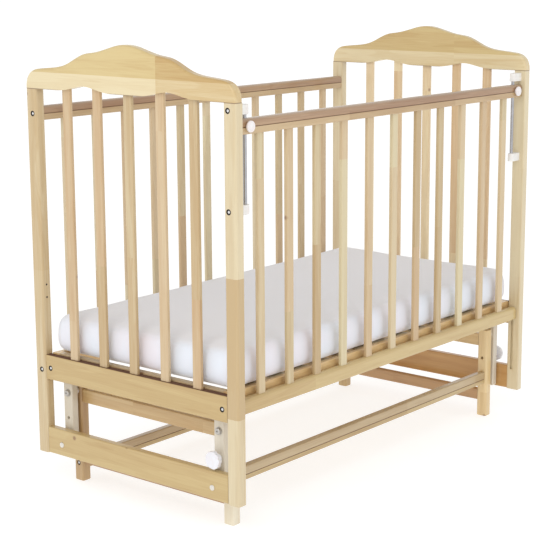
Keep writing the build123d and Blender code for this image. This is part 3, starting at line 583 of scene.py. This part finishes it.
# Drop side: the same rails and slats in a frame that runs down on two steel
# rods, with plastic sleeves in its top rail and pins at its foot.
drop_pale, drop_deep = tint(212, 198, 160), tint(186, 158, 114)
dress_long_side("drop_top_rail", "drop_low_rail", "drop_slats", 101.0, drop_pale, drop_deep)
dress(moulded_white("guide_plastic", tint(232, 231, 228), 0.4), "rod_sleeves", "guide_pins")


# Rods, brackets and catches: bright steel rods held by white blocks on the
# posts, and round white buttons that free the drop side.
dress(zinc_plate("rod_steel", tint(176, 176, 180), 0.18), "guide_rod_left", "guide_rod_right")
dress(moulded_white("bracket_plastic", tint(238, 237, 234), 0.36), "rod_brackets_left", "rod_brackets_right")
dress(moulded_white("button_plastic", tint(240, 236, 236), 0.3), "catch_button_left", "catch_button_right")


# Mattress: a foam block in a fitted white cotton cover. The cover is drawn
# tight, puckers faintly down the sides, and droops past the last slats.
def fitted_cover():
    """The mattress as the foam swells its cover."""
    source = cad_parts["mattress"]
    cover = bpy.data.objects.new("mattress_cover", source.data.copy())
    bpy.context.scene.collection.objects.link(cover)
    bpy.context.view_layer.objects.active = cover
    cover.select_set(True)
    low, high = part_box("mattress")
    middle = (low + high) / 2
    size = high - low
    draw_in = 0.0025
    for vertex in cover.data.vertices:
        for axis in range(3):
            share = 1 - 2 * draw_in / size[axis]
            vertex.co[axis] = middle[axis] + (vertex.co[axis] - middle[axis]) * share
    mesher = cover.modifiers.new("mesher", "REMESH")
    mesher.mode = "VOXEL"
    mesher.voxel_size = 0.008
    bpy.ops.object.modifier_apply(modifier="mesher")
    rest = [vertex.co.copy() for vertex in cover.data.vertices]
    swell(cover)
    cap = 0.004
    for vertex, start in zip(cover.data.vertices, rest):
        move = vertex.co - start
        if move.length > cap:
            vertex.co = start + move * (cap / move.length)
    return cover


def swell(cover):
    """Let the cloth give way to the foam, then keep its shape."""
    cloth = cover.modifiers.new("cloth", "CLOTH")
    cloth.settings.quality = 4
    cloth.settings.use_pressure = True
    cloth.settings.uniform_pressure_force = 4.0
    cloth.settings.effector_weights.gravity = 0.0
    cloth.settings.mass = 0.3
    cloth.settings.tension_stiffness = 15.0
    for step in range(1, 21):
        bpy.context.scene.frame_set(step)
    bpy.ops.object.modifier_apply(modifier="cloth")
    bpy.context.scene.frame_set(1)


def pucker(cover):
    """Upright folds in the sides, hollows in the top, and ends that droop past the last slat."""
    low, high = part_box("mattress")
    size = high - low
    fold_depth, fine_depth, proud, hollow = 0.0016, 0.0007, 0.0004, 0.0025
    droop_start, droop_run = 0.01, 0.02
    last_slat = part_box("deck_slats")[1].x
    ledge = low.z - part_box("deck_end_rails")[1].z
    for vertex in cover.data.vertices:
        x, y, z = vertex.co
        up = (z - low.z) / size.z
        wall = max(0.0, 1.0 - abs(up - 0.5) * 2.0) ** 0.5
        fold = noise.noise(Vector((x * 22, y * 22, z * 5)))
        fine = noise.noise(Vector((x * 55, y * 55, z * 9 + 4)))
        depth = wall * (fold_depth * fold + fine_depth * fine)
        out = Vector((x / size.x, y / size.y, 0)).normalized()
        vertex.co -= out * max(depth, -proud)
        overhang = min(1.0, max(0.0, (abs(x) - last_slat + droop_start) / droop_run))
        vertex.co.z -= ledge * overhang * max(0.0, 1.0 - 2.0 * up)
        if up > 0.9:
            vertex.co.z -= hollow * (0.5 + 0.5 * noise.noise(Vector((x * 6, y * 6, 2))))


def cotton_cover():
    """White cotton with a fine weave, faint upright clouds of bluish and pinkish white, and a greyer, less
    blue top as painted shade.
    """
    cotton = bpy.data.materials.new("cotton_cover")
    cotton.use_nodes = True
    tree = cotton.node_tree
    shader = tree.nodes["Principled BSDF"]
    place = tree.nodes.new("ShaderNodeTexCoord").outputs["Object"]
    cloud = mottle(tree, turn_vector(tree, "MULTIPLY", place, (1, 1, 0.4)), 9.0, 4.0)
    walls = blend_tints(tree, ease(tree, cloud, 0.35, 0.7), tint(234, 240, 250), tint(240, 236, 244))
    height = tree.nodes.new("ShaderNodeSeparateXYZ")
    tree.links.new(place, height.inputs[0])
    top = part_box("mattress")[1].z
    # Painted shade: the top is greyer and less blue than the walls.
    top_painted_shade = ease(tree, height.outputs["Z"], top - 0.024, top - 0.008)
    tree.links.new(blend_tints(tree, top_painted_shade, walls, tint(236, 236, 241)), shader.inputs["Base Color"])
    threads = []
    for axis in ("X", "Y", "Z"):
        wave = tree.nodes.new("ShaderNodeTexWave")
        wave.bands_direction = axis
        wave.inputs["Scale"].default_value = 260.0
        tree.links.new(place, wave.inputs["Vector"])
        threads.append(wave.outputs["Fac"])
    weave = reckon(tree, "MAXIMUM", reckon(tree, "MAXIMUM", threads[0], threads[1]), threads[2])
    bump = tree.nodes.new("ShaderNodeBump")
    bump.inputs["Strength"].default_value = 0.15
    bump.inputs["Distance"].default_value = 0.0003
    tree.links.new(weave, bump.inputs["Height"])
    tree.links.new(bump.outputs["Normal"], shader.inputs["Normal"])
    tree.links.new(ease(tree, weave, 0.0, 1.0, 0.92, 0.82), shader.inputs["Roughness"])
    shader.inputs["Sheen Weight"].default_value = 0.25
    shader.inputs["Sheen Roughness"].default_value = 0.5
    return cotton


mattress = fitted_cover()
pucker(mattress)
mattress.data.materials.clear()
mattress.data.materials.append(cotton_cover())
mattress.data.polygons.foreach_set("material_index", [0] * len(mattress.data.polygons))
mattress.data.polygons.foreach_set("use_smooth", [True] * len(mattress.data.polygons))
smoother = mattress.modifiers.new("smoother", "SUBSURF")
smoother.levels = 1
smoother.render_levels = 1
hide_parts("mattress")
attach(mattress, "cot")


# Studio: a wide white floor, an even white room and two large soft lamps,
# the stronger one high on the left.
def studio_floor():
    """Wide plain floor under the cot."""
    shape = bmesh.new()
    bmesh.ops.create_grid(shape, x_segments=2, y_segments=2, size=40.0)
    mesh = bpy.data.meshes.new("studio_floor")
    shape.to_mesh(mesh)
    shape.free()
    floor = bpy.data.objects.new("studio_floor", mesh)
    bpy.context.scene.collection.objects.link(floor)
    paint = bpy.data.materials.new("floor_paint")
    paint.use_nodes = True
    tree = paint.node_tree
    shader = tree.nodes["Principled BSDF"]
    place = tree.nodes.new("ShaderNodeTexCoord").outputs["Object"]
    cloud = ease(tree, mottle(tree, place, 3.0), 0.3, 0.7)
    grey, paler = (0.48, 0.48, 0.48, 1), (0.5, 0.5, 0.5, 1)
    tree.links.new(blend_tints(tree, cloud, grey, paler), shader.inputs["Base Color"])
    shader.inputs["Roughness"].default_value = 0.9
    shader.inputs["Specular IOR Level"].default_value = 0.1
    shader.inputs["Emission Color"].default_value = (1, 1, 1, 1)
    shader.inputs["Emission Strength"].default_value = 0.68
    mesh.materials.append(paint)


def soft_lamp(name, place, aim, size, power, shade):
    """Large square lamp that faces a point."""
    lamp = bpy.data.lights.new(name, "AREA")
    lamp.energy = power
    lamp.size = size
    lamp.color = shade
    holder = bpy.data.objects.new(name, lamp)
    bpy.context.scene.collection.objects.link(holder)
    holder.location = place
    holder.rotation_euler = (Vector(aim) - Vector(place)).to_track_quat("-Z", "Y").to_euler()


studio_floor()
room = bpy.data.worlds.new("room")
bpy.context.scene.world = room
room.use_nodes = True
sky = room.node_tree
sky.nodes["Background"].inputs["Color"].default_value = (1, 1, 1, 1)
upward = sky.nodes.new("ShaderNodeSeparateXYZ")
compass = sky.nodes.new("ShaderNodeTexCoord").outputs["Generated"]
sky.links.new(compass, upward.inputs[0])
glow = ease(sky, upward.outputs["Z"], 0.05, 0.85, 1.02, 0.68)
sky.links.new(glow, sky.nodes["Background"].inputs["Strength"])
soft_lamp("key_lamp", (-3.2, -1.2, 3.4), (0, 0, 0.5), 2.4, 40.0, (1.0, 0.99, 0.97))
soft_lamp("fill_lamp", (-0.6, -3.8, 1.6), (0, 0, 0.5), 2.6, 6.0, (1.0, 0.98, 0.97))
bpy.context.scene.view_settings.view_transform = "Standard"


# Camera: stands at the height of a seated person, off the left front corner,
# with a long lens, framed as in the photograph.
target = Vector((0, 0, 0.504))
turn, rise, roll = math.radians(-51.196), math.radians(11.328), math.radians(-0.141)
distance = 4.0318
frame_width = 550
focal_pixels = 1513.37
centre = (295.862, 263.278)
back = Vector((math.sin(turn) * math.cos(rise), -math.cos(turn) * math.cos(rise), math.sin(rise)))
right = Vector((0, 0, 1)).cross(back).normalized()
up = back.cross(right)
rolled_right = math.cos(roll) * right + math.sin(roll) * up
rolled_up = -math.sin(roll) * right + math.cos(roll) * up
placing = Matrix((rolled_right, rolled_up, back)).transposed().to_4x4()
placing.translation = target + distance * back
lens = bpy.data.cameras.new("camera")
lens.sensor_width = 36.0
lens.lens = focal_pixels / frame_width * lens.sensor_width
lens.shift_x = -(centre[0] - frame_width / 2) / frame_width
lens.shift_y = (centre[1] - frame_width / 2) / frame_width
lens.clip_end = 100.0
camera = bpy.data.objects.new("camera", lens)
bpy.context.scene.collection.objects.link(camera)
camera.matrix_world = placing
bpy.context.scene.camera = camera
